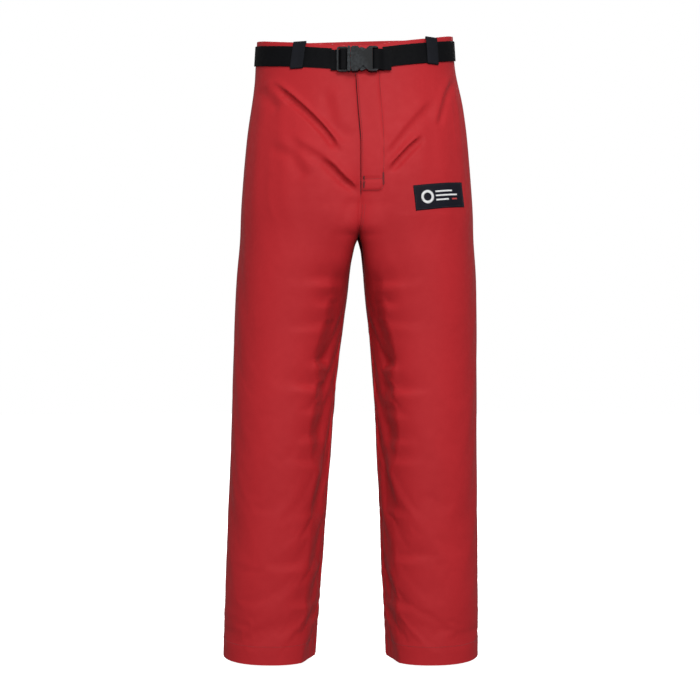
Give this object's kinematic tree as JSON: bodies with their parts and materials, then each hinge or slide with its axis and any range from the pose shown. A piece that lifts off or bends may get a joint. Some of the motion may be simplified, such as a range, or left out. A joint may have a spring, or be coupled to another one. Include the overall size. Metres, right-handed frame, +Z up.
{
  "type": "chainsaw chaps",
  "caption": "Chainsaw-protective over-trousers with padded hinged legs, a zipped fly and a webbing belt with a side-release buckle",
  "frame": {"origin": "middle of the waist opening, at the middle of the belt's width", "axes": "+Z up out of the waist, -Y out of the front, +X towards the wearer's left"},
  "size_m": [0.4444, 0.2616, 1.0932],
  "materials": {
    "shell_cloth": "dense woven polyester and cotton, matt",
    "lining_cloth": "light plain weave, matt",
    "cut_padding": "loose knitted cut-resistant layers",
    "webbing": "tight woven polyester webbing",
    "buckle_plastic": "moulded acetal with a fine texture",
    "label_cloth": "smooth woven label",
    "zip_tape_cloth": "woven zip tape",
    "brass": "brushed brass"
  },
  "bodies": {
    "waist": {"back_left_belt_loop": "webbing", "back_right_belt_loop": "webbing", "back_waistband": "shell_cloth", "belt_fold_at_socket": "webbing", "belt_webbing": "webbing", "belt_webbing_front_right": "webbing", "buckle_socket": "buckle_plastic", "centre_back_belt_loop": "webbing", "fly_facing": "shell_cloth", "fly_shield": "shell_cloth", "front_label_patch": "label_cloth", "front_left_belt_loop": "webbing", "front_left_waistband": "shell_cloth", "front_right_belt_loop": "webbing", "front_right_waistband": "shell_cloth", "left_back_hip_panel": "shell_cloth", "left_front_hip_panel": "shell_cloth", "left_hip_fold": "shell_cloth", "left_hip_lining": "lining_cloth", "left_zip_tape": "zip_tape_cloth", "left_zip_teeth": "brass", "right_back_hip_panel": "shell_cloth", "right_front_hip_panel": "shell_cloth", "right_hip_fold": "shell_cloth", "right_hip_lining": "lining_cloth", "right_zip_tape": "zip_tape_cloth", "right_zip_teeth": "brass", "waist_snap_cap": "brass", "waist_snap_stud": "brass", "zip_bottom_stop": "brass"},
    "left_thigh": {"left_front_thigh_panel": "shell_cloth", "left_back_thigh_panel": "shell_cloth", "left_thigh_cut_pad": "cut_padding", "left_thigh_lining": "lining_cloth", "left_knee_fold": "shell_cloth"},
    "left_shin": {"left_front_shin_panel": "shell_cloth", "left_back_shin_panel": "shell_cloth", "left_shin_cut_pad": "cut_padding", "left_shin_lining": "lining_cloth", "left_hem": "shell_cloth"},
    "right_thigh": {"right_front_thigh_panel": "shell_cloth", "right_back_thigh_panel": "shell_cloth", "right_thigh_cut_pad": "cut_padding", "right_thigh_lining": "lining_cloth", "right_knee_fold": "shell_cloth"},
    "right_shin": {"right_front_shin_panel": "shell_cloth", "right_back_shin_panel": "shell_cloth", "right_shin_cut_pad": "cut_padding", "right_shin_lining": "lining_cloth", "right_hem": "shell_cloth"},
    "buckle_plug": {"buckle_plug": "buckle_plastic", "belt_fold_at_plug": "webbing"},
    "upper_prong": {"upper_prong": "buckle_plastic"},
    "lower_prong": {"lower_prong": "buckle_plastic"},
    "zip_slider": {"zip_slider": "brass", "zip_pull": "brass"}
  },
  "joints": [
    {"name": "left_hip", "type": "hinge", "parent": "waist", "child": "left_thigh", "pos_m": [0, -0.015, -0.335], "axis": [-1, 0, 0], "range_deg": [-15, 45], "deforming": ["left_hip_fold"]},
    {"name": "right_hip", "type": "hinge", "parent": "waist", "child": "right_thigh", "pos_m": [0, -0.015, -0.335], "axis": [-1, 0, 0], "range_deg": [-15, 45], "deforming": ["right_hip_fold"]},
    {"name": "left_knee", "type": "hinge", "parent": "left_thigh", "child": "left_shin", "pos_m": [0, -0.02, -0.59], "axis": [1, 0, 0], "range_deg": [0, 65], "deforming": ["left_knee_fold"]},
    {"name": "right_knee", "type": "hinge", "parent": "right_thigh", "child": "right_shin", "pos_m": [0, -0.02, -0.59], "axis": [1, 0, 0], "range_deg": [0, 65], "deforming": ["right_knee_fold"]},
    {"name": "buckle_release", "type": "slide", "parent": "waist", "child": "buckle_plug", "axis": [-1, 0, 0], "range_m": [0, 0.03], "deforming": ["belt_webbing_front_right", "upper_prong", "lower_prong"]},
    {"name": "upper_prong_squeeze", "type": "hinge", "parent": "buckle_plug", "child": "upper_prong", "pos_m": [-0.0105, -0.11635, -0.01857], "axis": [0, 0.9976, -0.0698], "range_deg": [0, 6], "stiffness_Nm_per_rad": 0.3},
    {"name": "lower_prong_squeeze", "type": "hinge", "parent": "buckle_plug", "child": "lower_prong", "pos_m": [-0.0105, -0.11777, -0.03892], "axis": [0, -0.9976, 0.0698], "range_deg": [0, 6], "stiffness_Nm_per_rad": 0.3},
    {"name": "zip_slide", "type": "slide", "parent": "waist", "child": "zip_slider", "axis": [0, -0.0913, -0.9958], "range_m": [0, 0.115]}
  ],
  "couplings": [
    {"joint": "lower_prong_squeeze", "follows": "upper_prong_squeeze", "ratio": 1}
  ]
}
